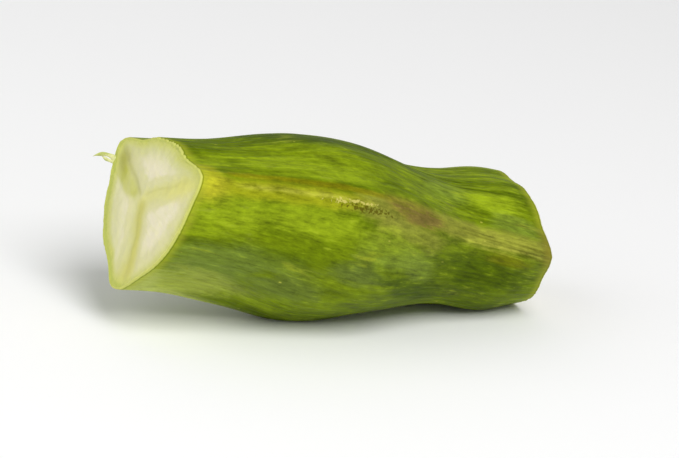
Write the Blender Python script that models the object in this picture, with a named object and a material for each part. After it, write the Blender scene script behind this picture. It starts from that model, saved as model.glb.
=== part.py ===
"""A cut length of a fresh moringa pod, lying on its side.

The pod is one grown piece: three valves that meet in three seams, filled with a spongy pith. It swells over
its seeds and is pinched between them, and a knife has cut it off square, or nearly so, at both ends.

The frame is in metres with +Z up. The pod lies along +X, from the near cut at -X to the far cut at +X, and
rests on z = 0 with the origin under the middle of its box. Angles round the pod run anticlockwise as seen
from the near cut, from 0 at -Y through 90 degrees at the top.
"""

import bmesh
import bpy
import numpy as np

# Driving dimensions
POD_LENGTH = 0.0613
NECK_RADIUS = 0.0080

# Swellings along the pod: (place from the middle of the length, rise of the radius, half-length)
SWELLINGS = (
    (-0.0360, 0.0010, 0.0140),
    (-0.0050, 0.0042, 0.0158),
    (0.0246, 0.0012, 0.0066),
)

# The three seams. Anticlockwise from the first, the other two lie short of their thirds of a turn
SEAMS = 3
FIRST_SEAM_MIDDLE = np.radians(29.7)
SEAM_TWIST = np.radians(-33.4)
SEAM_TWIST_GROWTH = np.radians(-18.6)
VALVE_PUSH = np.radians(8.9)

# The corners that the seams give the section, and the ridge on each, which is proudest at the near cut
CORNER_NEAR = 0.085
CORNER_SWOLLEN = 0.078
CORNER_FAR = 0.057
SEAM_RIDGE = 0.00028
SEAM_RIDGE_WIDTH = 0.0019
PROUD_RIDGE = 0.00047
PROUD_LENGTH = 0.0140

# Each valve is a little keeled down its middle
KEEL = 0.031

# Low ribs between the seams, three to a valve with the seams counted
RIBS = 9
RIB_HEIGHT = 0.00012

# Uneven growth: (height, waves round the pod, waves along it, phase)
UNEVEN = (
    (0.00040, 1, 0.77, 0.35),
    (0.00007, 5, 3.10, 4.40),
)

# The bend of the middle line, sideways
BEND = 0.0007

# How the near and the far cut lean: length along the pod for each length (up, towards -Y)
CUT_LEANS = ((0.125, -0.028), (-0.26, -0.083))

# The cut faces: each valve's pith swells a little, and is parted from the next by a groove
PITH_SWELL = 0.00035
GROOVE_DEPTH = 0.00040
GROOVE_WIDTH = 0.00075
LIP_SHARE = 0.06
LIP_HEIGHT = 0.00012

# Where the seams' walls meet in the cut faces, off the middle line: (towards +Y, up)
WALLS_MEET = (0.0020, 0.0005)

# How it lies: the thinner far end drops, and the weight presses small flats
REST_TILT = np.radians(7.5)
SETTLE = 0.00115

# The mesh, and how often a point's place is worked out again from the leaning cuts
CUT_PASSES = 3
POINTS_ROUND = 84
SEAM_CROWDING = 0.45
STATIONS = 41
FACE_RINGS = (0.12, 0.30, 0.50, 0.70, 0.86, 0.955)

SHARP_EDGE = np.radians(40.0)
SKIN_COLOUR = (0.165, 0.275, 0.022, 1.0)
SKIN_ROUGHNESS = 0.38


def clear_scene():
    for thing in list(bpy.data.objects):
        bpy.data.objects.remove(thing, do_unlink=True)


def bell(place, middle, spread):
    return np.exp(-(((place - middle) / spread) ** 2))


def body_radius(along):
    """The mean radius at a place along the pod."""
    radius = NECK_RADIUS
    for middle, rise, spread in SWELLINGS:
        radius = radius + rise * bell(along, middle, spread)
    return radius


def corner_share(along):
    """How far the seams stand out of a circle, as a share of the radius."""
    share = along / POD_LENGTH + 0.5
    ends = CORNER_NEAR + (CORNER_FAR - CORNER_NEAR) * share
    middle, _, spread = SWELLINGS[1]
    return ends + (CORNER_SWOLLEN - ends) * bell(along, middle, spread)


def first_seam_angle(along):
    share = along / POD_LENGTH
    return FIRST_SEAM_MIDDLE + SEAM_TWIST * share + SEAM_TWIST_GROWTH * share ** 2


def from_nearest_seam(turn):
    step = 2 * np.pi / SEAMS
    return turn - step * np.round(turn / step)


def place_angle(along, turn):
    """The angle round the pod of a turn counted from the first seam, where even thirds are the seams."""
    return first_seam_angle(along) + turn - VALVE_PUSH * (1 - np.cos(turn)) / 2


def skin_radius(along, turn):
    """The radius at a place along the pod, where even thirds of a turn are the seams."""
    mean = body_radius(along)
    shape = 1 + corner_share(along) * np.cos(SEAMS * turn) + KEEL * np.cos(2 * SEAMS * turn)
    radius = mean * shape + RIB_HEIGHT * np.cos(RIBS * turn)
    off_seam = mean * from_nearest_seam(turn)
    ridge = SEAM_RIDGE + PROUD_RIDGE * bell(along, -POD_LENGTH / 2, PROUD_LENGTH)
    radius = radius + ridge * bell(off_seam, 0.0, SEAM_RIDGE_WIDTH)
    for height, waves_round, waves_along, phase in UNEVEN:
        wave = waves_round * turn + 2 * np.pi * waves_along * along / POD_LENGTH
        radius = radius + height * np.cos(wave + phase)
    return radius


def middle_line(along):
    """The sideways offset of the pod's middle line: a shallow bow, with its mean at nought."""
    return BEND * ((2 * along / POD_LENGTH) ** 2 - 1 / 3)


def cut_place(end, side, up):
    """Where along the pod a cut is, at a place off the middle line: end is 0 for the near cut."""
    lean_up, lean_side = CUT_LEANS[end]
    return (end - 0.5) * POD_LENGTH + lean_up * up - lean_side * side


def skin_point(share, turn):
    """A point of the skin, from 0 at the near cut to 1 at the far cut."""
    along = (share - 0.5) * POD_LENGTH
    for _ in range(CUT_PASSES):
        radius = skin_radius(along, turn)
        angle = place_angle(along, turn)
        side = -radius * np.cos(angle)
        up = radius * np.sin(angle)
        near = cut_place(0, side, up)
        far = cut_place(1, side, up)
        along = near + (far - near) * share
    return np.array([along, side + middle_line(along), up])


def face_relief(reach, turn, radius):
    """How far the cut pith stands out of its plane: reach is 0 at the middle and 1 at the skin."""
    off = from_nearest_seam(turn)
    valve = np.sin(np.pi * np.abs(off) * SEAMS / (2 * np.pi)) ** 2
    inside = np.clip((1 - reach) / LIP_SHARE, 0, 1)
    swell = PITH_SWELL * np.sin(np.pi * reach) * valve
    groove = GROOVE_DEPTH * bell(reach * radius * np.sin(off), 0.0, GROOVE_WIDTH)
    return inside * (swell - groove - LIP_HEIGHT)


def face_middle(end):
    """Where the three walls meet in a cut face."""
    side, up = WALLS_MEET
    along = cut_place(end, side, up)
    return np.array([along, side + middle_line(along), up])


def face_point(end, reach, turn):
    """A point of a cut face: end is 0 for the near cut and 1 for the far one."""
    rim = skin_point(end, turn)
    middle = face_middle(end)
    outwards = 2 * end - 1
    relief = face_relief(reach, turn, np.linalg.norm(rim - middle))
    return middle + (rim - middle) * reach + np.array([outwards * relief, 0.0, 0.0])


def turn_of(index):
    """Places round the pod from the first seam, crowded towards the seams."""
    even = 2 * np.pi * index / POINTS_ROUND
    return even - SEAM_CROWDING * np.sin(SEAMS * even) / SEAMS


def rings():
    """The rings of points, from the middle of the near face to the middle of the far one."""
    turns = [turn_of(index) for index in range(POINTS_ROUND)]
    for reach in FACE_RINGS:
        yield [face_point(0, reach, turn) for turn in turns]
    for station in range(STATIONS):
        yield [skin_point(station / (STATIONS - 1), turn) for turn in turns]
    for reach in reversed(FACE_RINGS):
        yield [face_point(1, reach, turn) for turn in turns]


def place_ring(verts, points):
    for vert, point in zip(verts, points):
        vert.co = point


def grow_ring(pod, verts, edges):
    """Extrudes a ring, and gives the new one's points and edges in the old one's order."""
    grown = bmesh.ops.extrude_edge_only(pod, edges=edges)["geom"]
    fresh = {item for item in grown if isinstance(item, bmesh.types.BMVert)}
    across = {}
    for vert in fresh:
        for edge in vert.link_edges:
            across[edge.other_vert(vert)] = vert
    new_verts = [across[vert] for vert in verts]
    new_edges = [
        item for item in grown if isinstance(item, bmesh.types.BMEdge) and fresh.issuperset(item.verts)
    ]
    return new_verts, new_edges


def close_end(pod, verts, edges, middle):
    """Fills a ring with a fan round the middle of the cut face."""
    inner, _ = grow_ring(pod, verts, edges)
    bmesh.ops.pointmerge(pod, verts=inner, merge_co=middle)


def lofted_pod():
    """The closed skin and both cut faces, made by extruding one ring from end to end."""
    pod = bmesh.new()
    verts = bmesh.ops.create_circle(pod, segments=POINTS_ROUND, radius=NECK_RADIUS)["verts"]
    edges = list(pod.edges)
    first = (list(verts), list(edges))
    for number, points in enumerate(rings()):
        if number:
            verts, edges = grow_ring(pod, verts, edges)
        place_ring(verts, points)
    close_end(pod, *first, face_middle(0))
    close_end(pod, verts, edges, face_middle(1))
    bmesh.ops.recalc_face_normals(pod, faces=pod.faces)
    return pod


def lay_down(pod):
    """Tips the pod until its far end touches, presses the flats it rests on, and centres it."""
    cosine = np.cos(REST_TILT)
    sine = np.sin(REST_TILT)
    for vert in pod.verts:
        x, _, z = vert.co
        vert.co.x = x * cosine + z * sine
        vert.co.z = z * cosine - x * sine
    lowest = min(vert.co.z for vert in pod.verts)
    for vert in pod.verts:
        vert.co.z = max(vert.co.z - lowest - SETTLE, 0.0)
    for axis in (0, 1):
        places = [vert.co[axis] for vert in pod.verts]
        middle = (min(places) + max(places)) / 2
        for vert in pod.verts:
            vert.co[axis] -= middle


def skin_material():
    material = bpy.data.materials.new("pod_skin")
    material.use_nodes = True
    shader = material.node_tree.nodes["Principled BSDF"]
    shader.inputs["Base Color"].default_value = SKIN_COLOUR
    shader.inputs["Roughness"].default_value = SKIN_ROUGHNESS
    shader.inputs["Metallic"].default_value = 0.0
    return material


def make_pod():
    shape = lofted_pod()
    lay_down(shape)
    mesh = bpy.data.meshes.new("pod")
    shape.to_mesh(mesh)
    shape.free()
    mesh.shade_smooth()
    mesh.set_sharp_from_angle(angle=SHARP_EDGE)
    mesh.materials.append(skin_material())
    pod = bpy.data.objects.new("pod", mesh)
    bpy.context.scene.collection.objects.link(pod)
    return pod


clear_scene()
make_pod()
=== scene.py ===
"""The looks of a cut length of fresh moringa pod, lying on its side.

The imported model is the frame: metres, +Z up, with the near cut at -X and the side that the camera sees at
-Y. The pod is drawn again over its node as one finer closed mesh, with its skin and cut flesh, and two
frayed strands stand out of its near cut.
"""

import math

import bmesh
import bpy
import numpy as np
from mathutils import Matrix, Vector


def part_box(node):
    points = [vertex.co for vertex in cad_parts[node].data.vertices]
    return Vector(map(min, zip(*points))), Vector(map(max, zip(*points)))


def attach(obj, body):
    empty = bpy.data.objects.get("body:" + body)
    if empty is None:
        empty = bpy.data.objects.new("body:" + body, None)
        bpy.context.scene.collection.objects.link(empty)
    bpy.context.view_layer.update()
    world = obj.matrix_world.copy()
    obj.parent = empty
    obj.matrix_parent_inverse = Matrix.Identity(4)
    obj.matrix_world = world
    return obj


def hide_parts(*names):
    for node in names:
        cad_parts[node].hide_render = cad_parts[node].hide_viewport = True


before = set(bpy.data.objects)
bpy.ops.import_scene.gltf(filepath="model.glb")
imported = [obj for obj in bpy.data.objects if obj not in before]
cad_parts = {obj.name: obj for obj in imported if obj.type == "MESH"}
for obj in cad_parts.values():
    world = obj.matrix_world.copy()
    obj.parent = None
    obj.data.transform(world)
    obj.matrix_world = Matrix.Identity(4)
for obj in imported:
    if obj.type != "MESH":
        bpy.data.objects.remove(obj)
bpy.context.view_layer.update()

# The camera stands at arm's length and looks down a little on the near cut and the side with the long seam.
# It leans to one side, so that the pod slopes across the picture as it does in the photograph.
AZIMUTH = math.radians(-37.5)
ELEVATION = math.radians(18.4)
LEAN = math.radians(10.5)
CAMERA_DISTANCE = 0.60
LENS = 242.0
AIM = Vector((0.0005, 0.0, 0.0122))
CLIP_START = 0.01
CLIP_END = 20.0

towards_camera = Vector((
    math.sin(AZIMUTH) * math.cos(ELEVATION),
    -math.cos(AZIMUTH) * math.cos(ELEVATION),
    math.sin(ELEVATION),
))
level_right = Vector((math.cos(AZIMUTH), math.sin(AZIMUTH), 0.0))
level_up = towards_camera.cross(level_right)
picture_right = level_right * math.cos(LEAN) + level_up * math.sin(LEAN)
picture_up = level_up * math.cos(LEAN) - level_right * math.sin(LEAN)

camera = bpy.data.objects.new("camera", bpy.data.cameras.new("camera"))
camera.data.lens = LENS
camera.data.clip_start = CLIP_START
camera.data.clip_end = CLIP_END
camera.matrix_world = Matrix.Translation(AIM + towards_camera * CAMERA_DISTANCE) @ Matrix(
    (picture_right, picture_up, towards_camera)
).transposed().to_4x4()
bpy.context.scene.collection.objects.link(camera)
bpy.context.scene.camera = camera

# The pod: one grown body of taut green skin over spongy pith. Its three valves meet in three seams, and it
# swells over its seeds and is pinched between them. A knife has cut both ends. Its sizes are the solid's,
# with the finer growth marks added.
POD_LENGTH = 0.0613
NECK_RADIUS = 0.0080

# Swellings along the pod: (place from the middle of the length, rise of the radius, half-length)
SWELLINGS = (
    (-0.0360, 0.0010, 0.0140),
    (-0.0050, 0.0042, 0.0158),
    (0.0246, 0.0012, 0.0066),
)

# The seams, which twist along the pod, with their corners and ridges, and each valve's keel and ribs
SEAMS = 3
FULL_TURN = 2.0 * math.pi
FIRST_SEAM_MIDDLE = math.radians(29.7)
SEAM_TWIST = math.radians(-33.4)
SEAM_TWIST_GROWTH = math.radians(-18.6)
VALVE_PUSH = math.radians(8.9)
CORNER_NEAR = 0.085
CORNER_SWOLLEN = 0.078
CORNER_FAR = 0.057
SEAM_RIDGE = 0.00028
SEAM_RIDGE_WIDTH = 0.0019
PROUD_RIDGE = 0.00047
PROUD_LENGTH = 0.0140
KEEL = 0.031
RIBS = 9
RIB_HEIGHT = 0.00012

# Uneven growth: (height, waves round the pod, waves along it, phase)
UNEVEN = (
    (0.00040, 1, 0.77, 0.35),
    (0.00007, 5, 3.10, 4.40),
)

# The sideways bend of its middle line, and how it lies: tipped on to its thin end and settled on its flat
BEND = 0.0007
REST_TILT = math.radians(7.5)
SETTLE = 0.00115

# Growth marks that are too fine for the solid, the dent of a bruise at the pinch, and how softly the skin
# meets the surface that it lies on
SWELL_MARKS = dict(seed=3, height=0.000050, count=14, rounds=(3, 12), lengths=5.0)
STRIAE = dict(seed=11, height=0.000016, count=44, rounds=(26, 92), lengths=3.0)
SEAM_LINE_HEIGHT = 0.00008
SEAM_LINE_WIDTH = 0.00028
BRUISE_DENT = 0.00018
BRUISE_ALONG = 0.0356
BRUISE_LENGTH = 0.0045
BRUISE_WIDTH = 0.0016
PRESS_ROUND = 0.0003

# The valve between the second and third seams is a little fuller by the near cut, and blunt at its corners
FULLNESS = 0.00055
FULL_LENGTH = 0.0100
FULL_FROM = (math.radians(95.0), math.radians(117.0))
FULL_TO = (math.radians(212.0), math.radians(241.0))
CORNER_FULLNESS = 0.0011
CORNER_FULL_TURN = math.radians(229.0)
CORNER_FULL_SPREAD = math.radians(10.0)
CORNER_FULL_LENGTH = 0.0060

# The cuts: how the near and the far one lean, as length along the pod for each length (up, towards -Y), and
# where the walls meet in them (towards +Y, up). The knife has torn small bites out of the rim above the
# first seam
CUT_LEANS = ((0.125, -0.028), (-0.26, -0.083))
WALLS_MEET = (0.0020, 0.0005)
PITH_SWELL = 0.00018
GROOVE_DEPTH = 0.00008
GROOVE_WIDTH = 0.00060
GROOVE_STARTS = (0.02, 0.20)
LIP_WIDTH = 0.00060
LIP_HEIGHT = 0.00012
RAGGED = dict(seed=5, height=0.00003, count=20, rounds=(4, 34), lengths=0.0)
EDGE_ROUND = 0.00024
KNIFE_WAVES = dict(seed=8, height=0.000026, count=16, lengths=(0.0009, 0.0040))
TORN_BITES = dict(seed=21, height=0.00016, count=20, rounds=(16, 96), lengths=0.0)
TORN_MIDDLE = math.radians(42.0)
TORN_SPREAD = math.radians(30.0)
TORN_LENGTH = 0.0008

# The mesh: columns round the pod, and rows over each cut, its rounded edge and the skin, with those of a cut
# crowded towards its rim. A point's place is worked out anew from the leaning cuts, in a few passes
COLUMNS = 440
FACE_ROWS = 34
EDGE_ROWS = 6
SKIN_ROWS = 140
ROW_CROWDING = 1.25
CUT_PASSES = 3
MILLIMETRE = 0.001
WELD = 0.000002


def bell(place, middle, spread):
    return np.exp(-(((place - middle) / spread) ** 2))


def smooth_step(place, start, end):
    share = np.clip((place - start) / (end - start), 0.0, 1.0)
    return share * share * (3.0 - 2.0 * share)


def growth_waves(turn, along, seed, height, count, rounds, lengths):
    """Uneven growth: a seeded sum of waves that run round the pod and slowly along it."""
    draw = np.random.default_rng(seed)
    total = 0.0
    for _ in range(count):
        phase = draw.integers(*rounds) * turn + draw.uniform(0.0, FULL_TURN)
        total = total + np.cos(phase + draw.uniform(-lengths, lengths) * FULL_TURN * along / POD_LENGTH)
    return height * total / math.sqrt(count / 2)


def knife_waves(side, up, seed, height, count, lengths):
    """The slight waves that a knife and the pith's give leave on a cut face."""
    draw = np.random.default_rng(seed)
    total = 0.0
    for _ in range(count):
        heading = draw.uniform(0.0, FULL_TURN)
        place = side * math.cos(heading) + up * math.sin(heading)
        total = total + np.cos(FULL_TURN * place / draw.uniform(*lengths) + draw.uniform(0.0, FULL_TURN))
    return height * total / math.sqrt(count / 2)


def body_radius(along):
    """The mean radius at a place along the pod."""
    radius = NECK_RADIUS
    for middle, rise, spread in SWELLINGS:
        radius = radius + rise * bell(along, middle, spread)
    return radius


def corner_share(along):
    """How far the seams stand out of a circle, as a share of the radius."""
    share = along / POD_LENGTH + 0.5
    ends = CORNER_NEAR + (CORNER_FAR - CORNER_NEAR) * share
    middle, _, spread = SWELLINGS[1]
    return ends + (CORNER_SWOLLEN - ends) * bell(along, middle, spread)


def from_nearest_seam(turn):
    step = FULL_TURN / SEAMS
    return turn - step * np.round(turn / step)


def grown_radius(along, turn):
    """The solid's own radius at a place along the pod, where even thirds of a turn are the seams."""
    mean = body_radius(along)
    shape = 1.0 + corner_share(along) * np.cos(SEAMS * turn) + KEEL * np.cos(2 * SEAMS * turn)
    radius = mean * shape + RIB_HEIGHT * np.cos(RIBS * turn)
    off_seam = mean * from_nearest_seam(turn)
    ridge = SEAM_RIDGE + PROUD_RIDGE * bell(along, -POD_LENGTH / 2, PROUD_LENGTH)
    radius = radius + ridge * bell(off_seam, 0.0, SEAM_RIDGE_WIDTH)
    for height, waves_round, waves_along, phase in UNEVEN:
        wave = waves_round * turn + FULL_TURN * waves_along * along / POD_LENGTH
        radius = radius + height * np.cos(wave + phase)
    return radius


def skin_radius(along, turn):
    """The solid's radius with the finer marks, the fuller valve by the near cut and the bruise's dent."""
    mean = body_radius(along)
    from_near_cut = along + POD_LENGTH / 2
    seam_line = bell(mean * from_nearest_seam(turn), 0.0, SEAM_LINE_WIDTH)
    radius = grown_radius(along, turn) + SEAM_LINE_HEIGHT * seam_line
    radius = radius + growth_waves(turn, along, **SWELL_MARKS) + growth_waves(turn, along, **STRIAE)
    full = smooth_step(turn, *FULL_FROM) - smooth_step(turn, *FULL_TO)
    radius = radius + FULLNESS * full * bell(from_near_cut, 0.0, FULL_LENGTH)
    blunt = bell(turn, CORNER_FULL_TURN, CORNER_FULL_SPREAD)
    radius = radius + CORNER_FULLNESS * blunt * bell(from_near_cut, 0.0, CORNER_FULL_LENGTH)
    off_first_seam = mean * np.arctan2(np.sin(turn), np.cos(turn))
    dent = bell(from_near_cut, BRUISE_ALONG, BRUISE_LENGTH) * bell(off_first_seam, 0.0, BRUISE_WIDTH)
    return radius - BRUISE_DENT * dent


def middle_line(along):
    """The sideways offset of the pod's middle line: a shallow bow, with its mean at nought."""
    return BEND * ((2.0 * along / POD_LENGTH) ** 2 - 1.0 / 3.0)


def cut_place(end, side, up):
    """Where along the pod a cut is, at a place off the middle line: end is 0 for the near cut."""
    lean_up, lean_side = CUT_LEANS[end]
    return (end - 0.5) * POD_LENGTH + lean_up * up - lean_side * side


def place_between_cuts(share, side, up):
    near = cut_place(0, side, up)
    return near + (cut_place(1, side, up) - near) * share


def surface(share, reach, turn):
    """Points of the pod, from one cut to the other by share, and from its walls' meeting line by reach."""
    along = (share - 0.5) * POD_LENGTH + 0.0 * turn
    torn = bell(turn, TORN_MIDDLE, TORN_SPREAD) * bell(share * POD_LENGTH, 0.0, TORN_LENGTH)
    bites = torn * np.maximum(growth_waves(turn, 0.0, **TORN_BITES), 0.0)
    for _ in range(CUT_PASSES):
        radius = skin_radius(along, turn) - bites
        seam_share = along / POD_LENGTH
        first_seam = FIRST_SEAM_MIDDLE + SEAM_TWIST * seam_share + SEAM_TWIST_GROWTH * seam_share ** 2
        angle = first_seam + turn - VALVE_PUSH * (1.0 - np.cos(turn)) / 2.0
        side = -radius * np.cos(angle)
        up = radius * np.sin(angle)
        along = place_between_cuts(share, side, up)
    meet_side, meet_up = WALLS_MEET
    side = meet_side + (side - meet_side) * reach
    up = meet_up + (up - meet_up) * reach
    along = place_between_cuts(share, side, up)
    return along, side + middle_line(along), up, radius


def cut_relief(reach, turn, radius, side, up):
    """How far a cut face stands out: the pith swells, the walls in it sink, and the skin's lip stands."""
    off = from_nearest_seam(turn)
    valve = np.sin(np.pi * np.abs(off) * SEAMS / FULL_TURN) ** 2
    inwards = (1.0 - reach) * radius
    inside = smooth_step(inwards, 0.0, LIP_WIDTH)
    swell = PITH_SWELL * np.sin(np.pi * np.clip(reach, 0.0, 1.0)) * valve
    groove = GROOVE_DEPTH * bell(reach * radius * np.sin(off), 0.0, GROOVE_WIDTH)
    groove = groove * smooth_step(reach, *GROOVE_STARTS)
    lip = LIP_HEIGHT * (1.0 - inside) + growth_waves(turn, 0.0, **RAGGED) * bell(inwards, 0.0, LIP_WIDTH)
    return inside * (swell - groove + knife_waves(side, up, **KNIFE_WAVES)) + lip


def mesh_rows():
    """The rows' shares and reaches, from the middle of the near cut to the middle of the far one."""
    edge_share = EDGE_ROUND / POD_LENGTH
    edge_reach = 1.0 - EDGE_ROUND / NECK_RADIUS
    face = edge_reach * (1.0 - (1.0 - np.linspace(0.0, 1.0, FACE_ROWS, endpoint=False)) ** ROW_CROWDING)
    rounding = np.linspace(0.0, np.pi / 2, EDGE_ROWS)
    edge_shares = edge_share * (1.0 - np.cos(rounding))
    edge_reaches = edge_reach + (1.0 - edge_reach) * np.sin(rounding)
    skin = np.linspace(edge_share, 1.0 - edge_share, SKIN_ROWS + 2)[1:-1]
    shares = np.concatenate([np.zeros(FACE_ROWS), edge_shares])
    reaches = np.concatenate([face, edge_reaches])
    all_shares = np.concatenate([shares, skin, 1.0 - shares[::-1]])
    all_reaches = np.concatenate([reaches, np.ones(SKIN_ROWS), reaches[::-1]])
    return all_shares[:, None], all_reaches[:, None]


shares, reaches = mesh_rows()
turns = np.linspace(0.0, FULL_TURN, COLUMNS + 1)[None, :]
along, side, up, radius = surface(shares, reaches, turns)
is_near = shares < 0.5
from_cut = np.where(is_near, shares, 1.0 - shares) * POD_LENGTH
on_cut = 1.0 - smooth_step(from_cut, 0.0, EDGE_ROUND)
relief = cut_relief(reaches, turns, radius, side, up) * on_cut
along = along + np.where(is_near, -relief, relief)

# It lies with its thin far end down, on the flat of its lower seam, where the solid lies
cosine = math.cos(REST_TILT)
sine = math.sin(REST_TILT)
points = np.stack([along * cosine + up * sine, side, up * cosine - along * sine], axis=-1)
height = points[..., 2] - points[..., 2].min() - SETTLE
soft_height = (np.clip(height, -PRESS_ROUND, PRESS_ROUND) + PRESS_ROUND) ** 2 / (4.0 * PRESS_ROUND)
points[..., 2] = np.where(height > PRESS_ROUND, height, soft_height)
for axis in (0, 1):
    low, high = (end[axis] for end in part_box("pod"))
    points[..., axis] += (low + high - points[..., axis].min() - points[..., axis].max()) / 2

# What the finishes follow: the straightened pod in millimetres, and the ways from the seams and cuts
USUAL_RADIUS = 0.0095
mean_radius = body_radius(along)
straight = np.stack([
    shares * POD_LENGTH / MILLIMETRE + 0.0 * turns,
    reaches * USUAL_RADIUS / MILLIMETRE * np.cos(turns),
    reaches * USUAL_RADIUS / MILLIMETRE * np.sin(turns),
], axis=-1)
first_seam_way = mean_radius * np.arctan2(np.sin(turns), np.cos(turns)) / MILLIMETRE
seam_way = np.abs(mean_radius * from_nearest_seam(turns)) / MILLIMETRE
wall_way = reaches * radius * np.abs(np.sin(from_nearest_seam(turns))) / MILLIMETRE
rim_way = (1.0 - reaches) * radius / MILLIMETRE
cut_way = from_cut / MILLIMETRE + 0.0 * turns

# One grid is wrapped round the pod. The field values go on it while its rows and columns can still be told
# apart, and the faces of the two cuts, with the first step of their rounded edges, are flesh
grid = bmesh.new()
bmesh.ops.create_grid(grid, x_segments=COLUMNS, y_segments=len(shares) - 1, size=1.0)
pod_mesh = bpy.data.meshes.new("pod_body")
grid.to_mesh(pod_mesh)
places = np.zeros(len(pod_mesh.vertices) * 3)
pod_mesh.vertices.foreach_get("co", places)
places = places.reshape(-1, 3)
column_of = np.round((places[:, 0] + 1.0) / 2.0 * COLUMNS).astype(int)
row_of = np.round((places[:, 1] + 1.0) / 2.0 * (len(shares) - 1)).astype(int)
pod_mesh.vertices.foreach_set("co", points[row_of, column_of].ravel())
for name, kind, values in (
    ("straight", "FLOAT_VECTOR", straight),
    ("first_seam_way", "FLOAT", first_seam_way),
    ("seam_way", "FLOAT", seam_way),
    ("wall_way", "FLOAT", wall_way),
    ("rim_way", "FLOAT", rim_way),
    ("cut_way", "FLOAT", cut_way),
):
    attribute = pod_mesh.attributes.new(name, kind, "POINT")
    target = "vector" if kind == "FLOAT_VECTOR" else "value"
    attribute.data.foreach_set(target, values[row_of, column_of].ravel())
cut_rows = FACE_ROWS + 1
first_corner = np.zeros(len(pod_mesh.polygons), dtype=np.int32)
pod_mesh.polygons.foreach_get("loop_start", first_corner)
corner_vertex = np.zeros(len(pod_mesh.loops), dtype=np.int32)
pod_mesh.loops.foreach_get("vertex_index", corner_vertex)
face_row = row_of[corner_vertex[first_corner]]
is_flesh = (face_row < cut_rows) | (face_row >= len(shares) - 1 - cut_rows)
pod_mesh.polygons.foreach_set("material_index", is_flesh.astype(np.int32))
grid.clear()
grid.from_mesh(pod_mesh)
bmesh.ops.remove_doubles(grid, verts=grid.verts, dist=WELD)
bmesh.ops.recalc_face_normals(grid, faces=grid.faces)
grid.to_mesh(pod_mesh)
grid.free()
pod_mesh.shade_smooth()
pod_body = bpy.data.objects.new("pod_body", pod_mesh)
bpy.context.scene.collection.objects.link(pod_body)
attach(pod_body, "root")
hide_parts("pod")


class Socket:
    """A material's socket. Arithmetic on it adds Math nodes, and node() adds a node of any other kind."""

    def __init__(self, tree, output=None):
        self.tree = tree
        self.output = output

    def node(self, kind, inputs, settings=None, output=0):
        made = self.tree.nodes.new(kind)
        for name, value in (settings or {}).items():
            setattr(made, name, value)
        for name, value in inputs.items():
            if isinstance(value, Socket):
                self.tree.links.new(value.output, made.inputs[name])
            else:
                made.inputs[name].default_value = value
        return Socket(self.tree, made.outputs[output])

    def maths(self, operation, *values):
        return self.node("ShaderNodeMath", dict(enumerate(values)), {"operation": operation})

    def __add__(self, other):
        return self.maths("ADD", self, other)

    def __sub__(self, other):
        return self.maths("SUBTRACT", self, other)

    def __rsub__(self, other):
        return self.maths("SUBTRACT", other, self)

    def __mul__(self, other):
        return self.maths("MULTIPLY", self, other)

    def __truediv__(self, other):
        return self.maths("DIVIDE", self, other)

    def __abs__(self):
        return self.maths("ABSOLUTE", self)

    __radd__ = __add__
    __rmul__ = __mul__

    def bell(self, middle, spread):
        off = (self - middle) / spread
        return self.maths("EXPONENT", off * off * -1.0)

    def step(self, start, end):
        """Rises smoothly from 0 at start to 1 at end, or falls if end comes first."""
        ends = {"Value": self, "From Min": start, "From Max": end}
        return self.node("ShaderNodeMapRange", ends, {"interpolation_type": "SMOOTHSTEP"})

    def paint(self, under, over):
        """This mask's share of one colour over another."""
        settings = {"data_type": "RGBA"}
        return self.node("ShaderNodeMix", {0: self, 6: under, 7: over}, settings, output=2)

    def shade(self, amount):
        """This colour made lighter or darker."""
        return self.node("ShaderNodeVectorMath", {0: self, "Scale": amount}, {"operation": "SCALE"})

    def dot(self, x, y, z):
        """How far this place lies along a direction."""
        settings = {"operation": "DOT_PRODUCT"}
        return self.node("ShaderNodeVectorMath", {0: self, 1: (x, y, z)}, settings, output=1)

    def bump(self, strength, distance):
        """The normals of a surface that this height roughens."""
        values = {"Height": self, "Strength": strength, "Distance": distance}
        return self.node("ShaderNodeBump", values)

    def scaled(self, along, across, shift):
        """This place, stretched and moved, as a texture's."""
        place = {"Vector": self, "Location": (shift, shift, shift), "Scale": (along, across, across)}
        return self.node("ShaderNodeMapping", place)

    def noise(self, along, across, detail=2.0, roughness=0.5, distortion=0.0, shift=0.0):
        """Noise with so many waves to a unit of this place along it and across it."""
        values = {"Vector": self.scaled(along, across, shift), "Scale": 1.0, "Detail": detail,
                  "Roughness": roughness, "Distortion": distortion}
        return self.node("ShaderNodeTexNoise", values)

    def dots(self, along, across, shift, share, size):
        """Dots on a share of scattered points: size is their radius against the points' spacing."""
        values = {"Vector": self.scaled(along, across, shift), "Scale": 1.0}
        way = self.node("ShaderNodeTexVoronoi", values)
        drawn = self.node("ShaderNodeTexVoronoi", values, output=1)
        drawn = self.node("ShaderNodeSeparateColor", {"Color": drawn})
        return way.step(size, size * 0.4) * drawn.step(share, share - 0.04)


def field(material, name, output=2):
    """One of the mesh's own attributes: output 2 is its number and 1 its vector."""
    return Socket(material.node_tree).node("ShaderNodeAttribute", {}, {"attribute_name": name}, output)


def new_material(name, **constants):
    material = bpy.data.materials.new(name)
    material.use_nodes = True
    for socket, value in constants.items():
        material.node_tree.nodes["Principled BSDF"].inputs[socket.replace("_", " ")].default_value = value
    return material


def finish_material(material, **links):
    shader = material.node_tree.nodes["Principled BSDF"]
    for socket, value in links.items():
        material.node_tree.links.new(value.output, shader.inputs[socket.replace("_", " ")])


def srgb(red, green, blue):
    """A colour from its screen values, out of 255."""
    def linear(value):
        value = value / 255.0
        return value / 12.92 if value <= 0.04045 else ((value + 0.055) / 1.055) ** 2.4
    return (linear(red), linear(green), linear(blue), 1.0)


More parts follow.
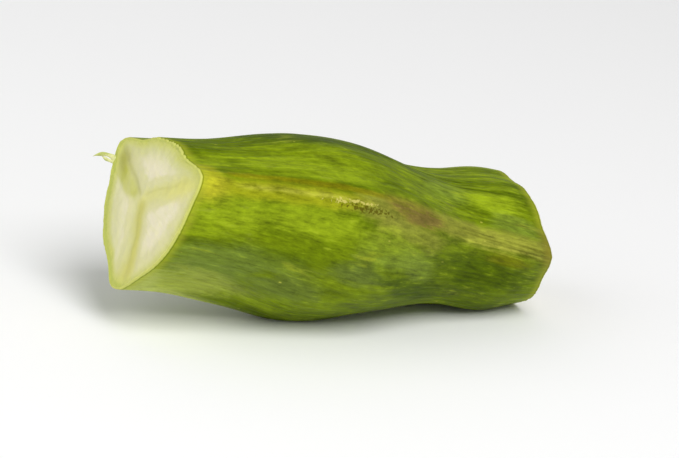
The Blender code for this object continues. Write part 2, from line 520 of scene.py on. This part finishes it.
# The skin: taut and waxy, mottled green with short pale striae, and yellow by the seams near the cut. Places
# are millimetres from the near cut, and millimetres round from the first seam, with those above it positive.
SKIN_GREEN = srgb(118, 138, 9)
SKIN_DARK = srgb(94, 114, 2)
DEEP_GREEN_AND_PAINTED_SHADE = srgb(76, 96, 0)
SKIN_LIME = srgb(147, 168, 25)
STRIA_PALE = srgb(164, 178, 46)
BLOOM = srgb(114, 134, 52)
BLOOM_DARK = srgb(100, 116, 50)
UNDERSIDE_PAINTED_LIGHT = srgb(160, 173, 70)
PALE_SEAM_AND_PAINTED_LIGHT = srgb(186, 197, 100)
PINCH_GREEN = srgb(128, 148, 48)
SEAM_YELLOW = srgb(184, 182, 42)
SEAM_LINE_YELLOW = srgb(154, 156, 24)
PALE_LINES_AND_HIGHLIGHTS = srgb(194, 192, 76)
SEAM_OLIVE = srgb(130, 124, 8)
SEAM_TAN = srgb(152, 154, 58)
BRUISE_BROWN = srgb(130, 122, 42)
BRUISE_PURPLE = srgb(120, 104, 50)
RIM_BROWN = srgb(118, 104, 34)
SCURF_CREAM = srgb(208, 198, 106)
SCURF_DARK = srgb(88, 82, 8)
CUT_YELLOW = srgb(176, 182, 52)
CUT_LIT = srgb(206, 208, 116)
SKIN_LIGHTNESS = 0.93
SKIN_BUMP = 0.00016

skin = new_material("pod_skin", Specular_IOR_Level=0.03, Coat_Weight=0.02, Coat_Roughness=0.25)
pod_place = field(skin, "straight", output=1)
seam_off = field(skin, "seam_way")
first_off = field(skin, "first_seam_way")
cut_off = field(skin, "cut_way")
far_along = pod_place.node("ShaderNodeSeparateXYZ", {"Vector": pod_place})

zones = pod_place.noise(0.05, 0.16, shift=3.1)
stripes = pod_place.noise(0.045, 0.62, detail=2.0, roughness=0.55, distortion=0.1, shift=7.7)
mottle = pod_place.noise(0.30, 0.62, detail=4.0, roughness=0.62, distortion=0.35, shift=2.4)
fray = pod_place.noise(0.11, 0.30, detail=5.0, roughness=0.66, distortion=0.4, shift=9.6)
lines = pod_place.noise(0.07, 2.0, detail=2.0, roughness=0.6, distortion=0.1, shift=6.1)
dashes = pod_place.noise(0.42, 2.3, detail=3.0, roughness=0.6, distortion=0.2, shift=1.9)
fibres = pod_place.noise(0.9, 6.5, detail=2.0, roughness=0.6, shift=5.3)
grain = pod_place.noise(3.4, 6.0, detail=2.0, shift=4.2)

green = zones.step(0.34, 0.66).paint(SKIN_DARK, SKIN_GREEN)
green = (stripes.step(0.46, 0.70) * 0.55).paint(green, SKIN_LIME)
green = (stripes.step(0.46, 0.26) * 0.38).paint(green, DEEP_GREEN_AND_PAINTED_SHADE)


def patch(along, length, across, width):
    """A soft patch of the skin with a frayed edge: its middle and half size each way."""
    mask = far_along.bell(along, length) * first_off.bell(across, width)
    return (mask + (fray - 0.5) * 1.7 + (lines - 0.5) * 0.5).step(0.15, 0.85)


# Broad patches of lime, dark green, tan and grey bloom on the valves beside the first seam and on it, with
# painted light on the lower valve's underside by the near cut and painted shade on the lower side towards the
# far end and on
# the top: (middle and half length along the pod, middle and half width round it, colour, strength)
PATCHES = (
    (5.0, 10.0, -3.2, 2.7, SKIN_LIME, 0.72),
    (17.0, 9.0, -3.2, 2.6, SKIN_LIME, 0.80),
    (9.0, 9.5, -9.8, 2.6, BLOOM, 0.75),
    (8.0, 9.0, -12.6, 2.2, BLOOM, 0.85),
    # Painted light: the lower valve's underside by the near cut is painted pale, for light bounced up on to
    # it
    (4.0, 11.0, -16.4, 3.8, UNDERSIDE_PAINTED_LIGHT, 0.95),
    (0.8, 2.6, -16.8, 2.8, PALE_SEAM_AND_PAINTED_LIGHT, 0.75),
    (18.5, 6.5, -13.6, 3.0, BLOOM_DARK, 0.70),
    (18.0, 7.0, -8.6, 1.6, SKIN_DARK, 0.45),
    (15.0, 6.0, -6.0, 1.5, SKIN_GREEN, 0.75),
    (23.0, 4.0, -10.8, 2.2, SKIN_GREEN, 0.50),
    (32.0, 6.0, -5.4, 2.4, PINCH_GREEN, 0.75),
    (28.0, 6.0, -9.4, 2.0, BLOOM_DARK, 0.75),
    # Painted shade: the lower side towards the far end is painted deep green where it turns down, away from
    # the light
    (37.0, 8.0, -9.2, 2.5, DEEP_GREEN_AND_PAINTED_SHADE, 0.90),
    (43.0, 6.0, -6.4, 2.0, DEEP_GREEN_AND_PAINTED_SHADE, 0.60),
    (49.5, 11.0, -4.8, 3.2, DEEP_GREEN_AND_PAINTED_SHADE, 0.85),
    (2.5, 4.0, 3.4, 1.6, SKIN_LIME, 0.70),
    (1.5, 2.6, 1.4, 1.4, SEAM_YELLOW, 0.55),
    (14.0, 7.0, 4.0, 1.6, SKIN_LIME, 0.75),
    (23.0, 6.0, 3.8, 1.8, SKIN_LIME, 0.65),
    (33.0, 6.0, 3.2, 2.0, SKIN_DARK, 0.60),
    (44.0, 6.0, 6.6, 2.2, PINCH_GREEN, 0.75),
    (53.0, 5.5, 6.2, 2.8, SKIN_LIME, 1.00),
    (55.0, 5.0, 3.2, 1.8, PINCH_GREEN, 0.70),
    # Partly painted shadow: the top of the upper valve is painted deep green, partly its own tone and partly
    # shade
    (20.0, 18.0, 13.0, 3.0, DEEP_GREEN_AND_PAINTED_SHADE, 0.80),
    (30.0, 5.0, 9.0, 2.0, SKIN_DARK, 0.60),
    (28.0, 5.5, -0.5, 1.9, SEAM_TAN, 0.85),
    (35.0, 6.0, -2.0, 1.4, SEAM_TAN, 0.60),
    (29.5, 4.5, -4.0, 1.7, SKIN_LIME, 0.45),
    (37.5, 4.0, -6.0, 1.8, PINCH_GREEN, 0.70),
    (54.0, 4.0, -1.9, 0.9, SEAM_OLIVE, 0.45),
)
for *place_and_size, colour, strength in PATCHES:
    green = (patch(*place_and_size) * strength).paint(green, colour)

# The seams: yellow by the near cut, with an olive line above the first one and a painted highlight along its
# ridge, then a brown bruise at the pinch, and tan to the far end. Each colour comes or goes between two
# places along the pod. The bruise's stain lies a little nearer the near cut than its dent does
YELLOW_GOES = (9.0, 1.0)
YELLOW_LINE_COMES = (1.0, 7.0)
YELLOW_LINE_GOES = (29.0, 20.0)
OTHER_SEAMS_GO = (26.0, 2.0)
LOWER_EDGE_GOES = (17.0, 5.0)
OLIVE_COMES = (2.0, 6.0)
OLIVE_GOES = (34.0, 27.0)
RIDGE_COMES = (4.0, 9.0)
RIDGE_GOES = (30.0, 24.0)
TAN_COMES = (30.0, 42.0)
FAR_LINES_COME = (40.0, 50.0)
STAIN_ALONG = BRUISE_ALONG / MILLIMETRE - 1.6
STAIN_HEART_ALONG = BRUISE_ALONG / MILLIMETRE - 0.8
wobble = (mottle - 0.5) * 1.1 + (dashes - 0.5) * 0.7
from_seam = first_off + wobble
yellow = from_seam.bell(-0.7, 1.7) * far_along.step(*YELLOW_GOES)
green = ((yellow + (fray - 0.5) * 0.6).step(0.10, 0.85) * 0.92).paint(green, SEAM_YELLOW)
yellow_line = from_seam.bell(-0.5, 1.1) * far_along.step(*YELLOW_LINE_COMES)
yellow_line = yellow_line * far_along.step(*YELLOW_LINE_GOES)
green = ((yellow_line + (fray - 0.5) * 0.8).step(0.10, 0.85) * 0.75).paint(green, SEAM_LINE_YELLOW)
other_seams = (seam_off + wobble * 0.7).step(1.9, 0.1) * abs(first_off).step(5.0, 8.0)
green = (other_seams * (far_along.step(*OTHER_SEAMS_GO) * 0.30 + 0.32)).paint(green, PALE_SEAM_AND_PAINTED_LIGHT)
# Along the lower edge by the near cut the pale line is partly the second seam's own colour and partly a
# painted highlight of bounced light
lower_seam_and_highlight = (seam_off + wobble * 0.3).bell(0.75, 0.85) * first_off.step(-13.0, -16.0)
green = (lower_seam_and_highlight * far_along.step(*LOWER_EDGE_GOES) * 0.90).paint(green, PALE_SEAM_AND_PAINTED_LIGHT)
olive = (first_off + wobble * 0.45).bell(1.05, 0.48) * far_along.step(*OLIVE_COMES)
olive = olive * far_along.step(*OLIVE_GOES)
green = ((olive + (dashes - 0.5) + (fray - 0.5) * 0.8).step(0.15, 1.00) * 0.72).paint(green, SEAM_OLIVE)
# A painted highlight along the first seam's ridge, in pale dashes
ridge = (first_off + wobble * 0.25).bell(-0.30, 0.26) * far_along.step(*RIDGE_COMES)
ridge = ridge * far_along.step(*RIDGE_GOES)
green = (ridge * dashes.step(0.30, 0.56) * 0.45).paint(green, PALE_LINES_AND_HIGHLIGHTS)
tan = from_seam.bell(0.4, 1.35) * far_along.step(*TAN_COMES)
green = (tan.step(0.10, 0.80) * 0.80).paint(green, SEAM_TAN)
far_seam = first_off + wobble * 0.3
far_end = far_along.step(*FAR_LINES_COME)
dark_lines = lines.step(0.50, 0.38) * far_seam.bell(-0.2, 1.1) * far_end
green = (dark_lines * 0.42).paint(green, SCURF_DARK)
pale_lines = lines.step(0.50, 0.62) * far_seam.bell(-0.3, 0.9) * far_end
green = (pale_lines * 0.38).paint(green, PALE_LINES_AND_HIGHLIGHTS)
bruise = far_along.bell(STAIN_ALONG, 7.0) * from_seam.bell(0.45, 1.7)
green = ((bruise + (dashes - 0.5) * 0.5).step(0.20, 0.85) * 0.85).paint(green, BRUISE_BROWN)
bruise_heart = far_along.bell(STAIN_HEART_ALONG, 5.4) * (first_off + wobble * 0.6).bell(0.15, 1.05)
streaks = lines.step(0.38, 0.60) * 0.50 + dashes.step(0.40, 0.60) * 0.35 + fray.step(0.40, 0.60) * 0.35
bruise_streaks = (bruise_heart * 0.75 + streaks - 0.80).step(0.0, 0.60) * bruise_heart.step(0.10, 0.55)
green = (bruise_streaks * 0.85).paint(green, BRUISE_PURPLE)

# Light and dark mottling and short striae over every colour, calmer on the pale lower valve by the near cut
calm = 1.0 - far_along.bell(5.0, 13.0) * first_off.bell(-15.0, 5.0) * 0.60
unevenness = (
    (mottle - 0.5) * 1.20 + (lines - 0.5) * 0.32 + (dashes - 0.5) * 1.10 + (fibres - 0.5) * 0.55
    + (grain - 0.5) * 0.30
)
green = green.shade(SKIN_LIGHTNESS + unevenness * calm)
green = (dashes.step(0.56, 0.74) * mottle.step(0.42, 0.60) * calm * 0.45).paint(green, STRIA_PALE)
green = (dashes.step(0.43, 0.30) * lines.step(0.56, 0.40) * calm * 0.18).paint(green, DEEP_GREEN_AND_PAINTED_SHADE)

# Cream scurf on the first seam, with dark pits below it, and painted glints of moisture, short pale dashes,
# all over the skin
SCURF_ALONG = 22.4
SCURF_LENGTH = 6.2
PITS_ALONG = 25.2
PITS_LENGTH = 5.4
scurf_way = first_off + (mottle - 0.5) * 1.2
crumbs = pod_place.noise(2.3, 3.6, detail=2.0, roughness=0.6, distortion=0.5, shift=0.3)
scurf_place = far_along.bell(SCURF_ALONG, SCURF_LENGTH) * scurf_way.bell(-0.55, 0.42)
scurf = (crumbs * 3.0 - 1.5 + scurf_place).step(0.78, 1.02) * scurf_place.step(0.10, 0.30)
pits_place = far_along.bell(PITS_ALONG, PITS_LENGTH) * scurf_way.bell(-1.10, 0.46)
pits = (1.5 - crumbs * 3.0 + pits_place).step(0.66, 0.92) * pits_place.step(0.10, 0.30)
green = (pits * 0.85).paint(green, SCURF_DARK)
green = (scurf * 0.76).paint(green, SCURF_CREAM)
# Painted glints: short pale dashes scattered over the skin stand for light caught by moisture
painted_glints = pod_place.dots(0.26, 0.60, 6.6, 0.45, 0.085)
green = (painted_glints * 0.70).paint(green, PALE_LINES_AND_HIGHLIGHTS)

# The skin by the cuts: yellowed, with a dark line at the edge that is painted shade under the cut's lip, the
# pale rind that the knife has laid bare, and a brown rim to the far cut where the first seam meets it
FAR_RIM_COMES = (58.4, 60.6)
cut_tint = (cut_off + wobble).step(1.9, 0.1)
green = (cut_tint * 0.55).paint(green, CUT_YELLOW)
# Painted shade: a thin deep-green line on the skin just outside each cut's edge, for the shade under the
# cut's lip
green = (cut_off.bell(0.29, 0.09) * mottle.step(0.20, 0.50) * 0.60).paint(green, DEEP_GREEN_AND_PAINTED_SHADE)
green = (cut_off.step(0.22, 0.13) * 0.80).paint(green, CUT_LIT)
far_rim = (far_along + wobble).step(*FAR_RIM_COMES) * first_off.bell(1.0, 3.2)
green = (far_rim * 0.60).paint(green, RIM_BROWN)

skin_height = (
    dashes * 0.60 + lines * 0.40 + stripes * 0.45 + mottle * 0.60 + fibres * 0.20 + grain * 0.16
    + painted_glints * 0.30 + scurf * 0.60 - pits * 0.50
)
skin_bump = skin_height.bump(0.55, SKIN_BUMP)
skin_roughness = 0.44 + (dashes - 0.5) * 0.20 + (mottle - 0.5) * 0.30 + bruise_heart * 0.10
finish_material(skin, Base_Color=green, Roughness=skin_roughness, Normal=skin_bump)
pod_mesh.materials.append(skin)

# The cut flesh: pale spongy pith in three parts, inside a yellow-green rind. Walls part them, from where they
# meet out to the seams: a faint yellow band to the first, an olive one to the second, and to the third a
# widening wedge, which ends in a stain. Places on it are in about millimetres.
PITH = srgb(224, 220, 168)
PITH_WHITE = srgb(238, 231, 198)
PITH_GREEN = srgb(208, 210, 136)
WALL_OLIVE = srgb(210, 206, 112)
WALL_YELLOW = srgb(228, 224, 124)
WALL_DARK = srgb(166, 164, 72)
WALL_STAIN = srgb(162, 160, 58)
WEDGE = srgb(196, 198, 92)
RIND = srgb(208, 210, 112)
RIND_EDGE = srgb(190, 198, 92)
RIND_MOTTLE = srgb(168, 176, 78)
RIND_LIT = srgb(224, 222, 132)
CUTICLE = srgb(122, 134, 30)
FLESH_LIGHTNESS = 0.93
FLESH_BUMP = 0.00018
SMEAR_TURN = 0.9
SMEAR_SCALE = (0.5, 0.3, 1.9)

flesh = new_material(
    "pod_flesh",
    Specular_IOR_Level=0.20,
    Subsurface_Weight=0.20,
    Subsurface_Radius=(1.0, 0.9, 0.4),
    Subsurface_Scale=0.0008,
)
face_place = field(flesh, "straight", output=1)
wall_off = field(flesh, "wall_way")
rim_off = field(flesh, "rim_way")
cloud = face_place.noise(0.30, 0.30, detail=3.0, roughness=0.6, shift=1.3)
waver = face_place.noise(0.22, 0.22, detail=1.0, shift=6.2)
sponge = face_place.noise(2.2, 2.2, detail=4.0, roughness=0.7, shift=3.7)
turned = face_place.node("ShaderNodeMapping", {"Vector": face_place, "Rotation": (SMEAR_TURN, 0.0, 0.0)})
stretched = turned.node("ShaderNodeMapping", {"Vector": turned, "Scale": SMEAR_SCALE})
smear = stretched.node("ShaderNodeTexNoise", {"Vector": stretched, "Detail": 3.0, "Scale": 1.0})


def wall(turn):
    """How far out along one wall's line, and how far to its side. The line wavers a little."""
    outwards = face_place.dot(0.0, math.cos(turn), math.sin(turn))
    aside = face_place.dot(0.0, -math.sin(turn), math.cos(turn))
    return outwards, aside + (waver - 0.5) * 1.6


first_out, first_aside = wall(0.0)
third_out, third_aside = wall(FULL_TURN / SEAMS)
second_out, second_aside = wall(2.0 * FULL_TURN / SEAMS)

# The pith: whiter and a little pink in the middle of each part, and greener by the walls and the rind
middle = wall_off.step(0.8, 3.0) * rim_off.step(0.9, 3.2)
pale = ((cloud - 0.5) * 1.6 + middle).step(0.35, 0.95).paint(PITH, PITH_WHITE)
pale = (smear.step(0.48, 0.70) * 0.20).paint(pale, PITH_GREEN)
pale = (sponge.step(0.52, 0.78) * 0.25).paint(pale, PITH_GREEN)
pale = ((wall_off + (cloud - 0.5) * 1.2).step(1.7, 0.2) * 0.32).paint(pale, PITH_GREEN)

# The walls: the second bows to one side, the first wanders, and each has a thin dark line in it
FIRST_BAND_WIDTH = 1.15
FIRST_LINE_WIDTH = 0.26
SECOND_BAND_WIDTH = 0.90
SECOND_LINE_WIDTH = 0.22
SECOND_SHIFT = 0.40
SECOND_BOW = 0.45
THIRD_LINE_WIDTH = 0.30
WEDGE_SHIFT = 0.70
WEDGE_TURN = 0.10
WEDGE_ROOT = 0.50
WEDGE_WIDENING = 0.11
STAIN_OUT = 7.6
STAIN_ASIDE = 0.75
second_bowed = second_aside - SECOND_SHIFT - second_out.bell(4.6, 3.2) * SECOND_BOW
second_band = (second_bowed + (cloud - 0.5) * 0.5).bell(0.0, SECOND_BAND_WIDTH) * second_out.step(-0.4, 1.0)
second_line = second_bowed.bell(-0.30, SECOND_LINE_WIDTH) * second_out.step(0.0, 1.2) * rim_off.step(0.4, 3.0)
first_curve = first_aside + (cloud - 0.5) * 1.8
first_line = first_curve.bell(0.0, FIRST_LINE_WIDTH) * first_out.step(0.3, 1.4)
first_band = first_curve.bell(-0.45, FIRST_BAND_WIDTH) * first_out.step(-1.2, 0.6)
wedge_width = third_out * WEDGE_WIDENING + WEDGE_ROOT
wedge_off = abs(third_aside - WEDGE_SHIFT - third_out * WEDGE_TURN) - wedge_width
wedge = wedge_off.step(0.60, -0.40) * third_out.step(0.3, 1.8) * (0.80 + (cloud - 0.5) * 1.6)
third_line = (third_aside + third_out * 0.04).bell(-0.05, THIRD_LINE_WIDTH)
third_line = third_line * third_out.step(0.1, 1.0) * rim_off.step(0.2, 1.2)
third_stain = third_out.bell(STAIN_OUT, 2.0) * third_aside.bell(STAIN_ASIDE, 1.45)
pale = (wedge * 0.95).paint(pale, WEDGE)
pale = (first_band * (0.45 + first_out.step(2.0, 8.0) * 0.40)).paint(pale, WALL_YELLOW)
pale = (second_band * 0.95).paint(pale, WALL_OLIVE)
wall_lines = third_line * 0.36 + second_line * 0.20 + first_line * rim_off.step(0.3, 1.6) * 0.16
pale = wall_lines.paint(pale, WALL_DARK)
pale = (third_stain * 0.90).paint(pale, WALL_STAIN)
second_end = second_out.step(5.0, 8.2) * second_aside.bell(0.3, 1.5)
pale = (second_end * 0.85).paint(pale, WALL_OLIVE)

# The rind: about a millimetre wide, wider on the left valve and thinner on the lower one, mottled, and darker
# at the skin
left_valve = face_place.dot(0.0, -1.0, 0.0).step(3.0, 6.0)
lower_valve = face_place.dot(0.0, 0.5, -0.87).step(3.0, 6.0)
upper_valve = face_place.dot(0.0, 0.5, 0.87).step(2.0, 5.0)
rind_off = rim_off + (cloud - 0.5) * 0.7 + (smear - 0.5) * 0.5
rind_off = rind_off - left_valve * 0.75 + lower_valve * 0.45
pale = (left_valve * 0.52).paint(pale, PITH_GREEN)
pale = (upper_valve * rim_off.step(4.6, 1.2) * 0.60).paint(pale, PITH_GREEN)
pale = (rind_off.step(1.90, 0.45) * 0.92).paint(pale, RIND)
pale = (rind_off.step(0.65, 0.15) * 0.80).paint(pale, RIND_EDGE)
pale = (sponge.step(0.50, 0.64) * rind_off.step(1.2, 0.5) * 0.40).paint(pale, RIND_MOTTLE)
pale = (rim_off.step(0.36, 0.20) * lower_valve * 0.75).paint(pale, RIND_LIT)
pale = (rim_off.step(0.12, 0.02) * 0.45).paint(pale, CUTICLE)
pale = pale.shade(FLESH_LIGHTNESS + (sponge - 0.5) * 0.12 + (smear - 0.5) * 0.06)

flesh_height = sponge * 0.60 + smear * 0.50 + cloud * 0.40 - wall_lines * 0.25
flesh_bump = flesh_height.bump(0.34, FLESH_BUMP)
flesh_roughness = 0.46 + (sponge - 0.5) * 0.40 + (cloud - 0.5) * 0.50
finish_material(flesh, Base_Color=pale, Roughness=flesh_roughness, Normal=flesh_bump)
pod_mesh.materials.append(flesh)

# Frayed skin: the knife has dragged a short strand of the rind out of the near cut, below its far corner,
# where it has split in two and curled as it dried. It is pale like the rind, and flat.
STRAND_TURN = math.radians(133.5)
STRAND_SUNK = 0.0005
STRAND_HEADING = Vector((-0.93, 0.37, 0.0)).normalized()
STRAND_HALF_WIDTH = 0.00035
STRAND_HALF_THICKNESS = 0.00016
STRAND_SIDES = 12
STRAND_STEPS = 24
STRAND_TAPER = 3
STRAND_LUMPS = 0.2
STRAND_LUMP_WAVE = 11.0
FIBRE_BUMP = 0.0001

# (name, length, how steeply it leaves the cut, how far it turns, share of the full width)
STRANDS = (
    ("strand", 0.0037, math.radians(48.0), math.radians(-84.0), 1.0),
    ("short_strand", 0.0024, math.radians(-10.0), math.radians(52.0), 0.80),
)
STRAND_GREEN = srgb(180, 188, 104)
STRAND_PALE = srgb(224, 224, 164)

fibre = new_material("pod_fibre", Specular_IOR_Level=0.25)
fibre_place = Socket(fibre.node_tree).node("ShaderNodeTexCoord", {}, output=3)
fibre_cloud = fibre_place.noise(900.0, 1500.0, detail=3.0, roughness=0.6)
fibre_colour = fibre_cloud.step(0.35, 0.60).paint(STRAND_GREEN, STRAND_PALE)
fibre_bump = fibre_cloud.bump(0.5, FIBRE_BUMP)
finish_material(fibre, Base_Color=fibre_colour, Roughness=0.45 + fibre_cloud * 0.2, Normal=fibre_bump)

rim_row = FACE_ROWS + EDGE_ROWS // 2
strand_root = Vector(points[rim_row, round(STRAND_TURN / FULL_TURN * COLUMNS)])
upwards = Vector((0.0, 0.0, 1.0))
for name, length, rise, curl, share in STRANDS:
    strand_shape = bmesh.new()
    bmesh.ops.create_grid(strand_shape, x_segments=STRAND_SIDES, y_segments=STRAND_STEPS, size=1.0)
    for vert in strand_shape.verts:
        turn = math.pi * vert.co.x
        gone = (vert.co.y + 1.0) / 2.0
        angle = rise + curl * gone
        forward = length / curl * (math.sin(angle) - math.sin(rise)) - STRAND_SUNK
        lift = length / curl * (math.cos(rise) - math.cos(angle))
        over = upwards * math.cos(angle) - STRAND_HEADING * math.sin(angle)
        lumps = 1.0 + STRAND_LUMPS * math.sin(STRAND_LUMP_WAVE * gone)
        girth = share * (1.0 - gone ** STRAND_TAPER) * min(gone * STRAND_STEPS, 1.0) * lumps
        vert.co = (
            strand_root + STRAND_HEADING * forward + upwards * lift
            + over * STRAND_HALF_WIDTH * girth * math.sin(turn)
            + STRAND_HEADING.cross(upwards) * STRAND_HALF_THICKNESS * girth * math.cos(turn)
        )
    bmesh.ops.remove_doubles(strand_shape, verts=strand_shape.verts, dist=WELD)
    bmesh.ops.recalc_face_normals(strand_shape, faces=strand_shape.faces)
    strand_mesh = bpy.data.meshes.new(name)
    strand_shape.to_mesh(strand_mesh)
    strand_shape.free()
    strand_mesh.shade_smooth()
    strand_mesh.materials.append(fibre)
    strand = bpy.data.objects.new(name, strand_mesh)
    bpy.context.scene.collection.objects.link(strand)
    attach(strand, "root")

# The floor and light: a plain white floor, a wide soft light from above on the right, and a fill from the
# left, as for a plain studio picture.
FLOOR_SIZE = 6.0
FLOOR_WHITE = (0.97, 0.97, 0.97, 1.0)
FLOOR_ROUGHNESS = 0.9
ROOM_WHITE = (1.0, 1.0, 1.0, 1.0)
ROOM_LIGHT = 0.38

# (name, way to it as shares to the right, up and towards the camera, distance, width, power)
LIGHTS = (
    ("key", (0.45, 0.95, 0.80), 0.9, 0.60, 5.8),
    ("fill", (-0.80, 0.35, 0.60), 0.9, 0.80, 2.6),
)
floor_shape = bmesh.new()
bmesh.ops.create_grid(floor_shape, x_segments=1, y_segments=1, size=FLOOR_SIZE / 2)
floor_mesh = bpy.data.meshes.new("floor")
floor_shape.to_mesh(floor_mesh)
floor_shape.free()
floor = bpy.data.objects.new("floor", floor_mesh)
bpy.context.scene.collection.objects.link(floor)
floor_mesh.materials.append(new_material("floor_white", Base_Color=FLOOR_WHITE, Roughness=FLOOR_ROUGHNESS))

for name, (right_share, up_share, near_share), distance, size, power in LIGHTS:
    way = level_right * right_share + upwards * up_share + towards_camera * near_share
    way.normalize()
    lamp = bpy.data.lights.new(name, "AREA")
    lamp.size = size
    lamp.energy = power
    light = bpy.data.objects.new(name, lamp)
    light.location = AIM + way * distance
    light.rotation_euler = way.to_track_quat("Z", "Y").to_euler()
    light.visible_camera = False
    bpy.context.scene.collection.objects.link(light)

world = bpy.data.worlds.new("studio")
world.use_nodes = True
world.node_tree.nodes["Background"].inputs["Color"].default_value = ROOM_WHITE
world.node_tree.nodes["Background"].inputs["Strength"].default_value = ROOM_LIGHT
bpy.context.scene.world = world
bpy.context.scene.view_settings.view_transform = "Standard"
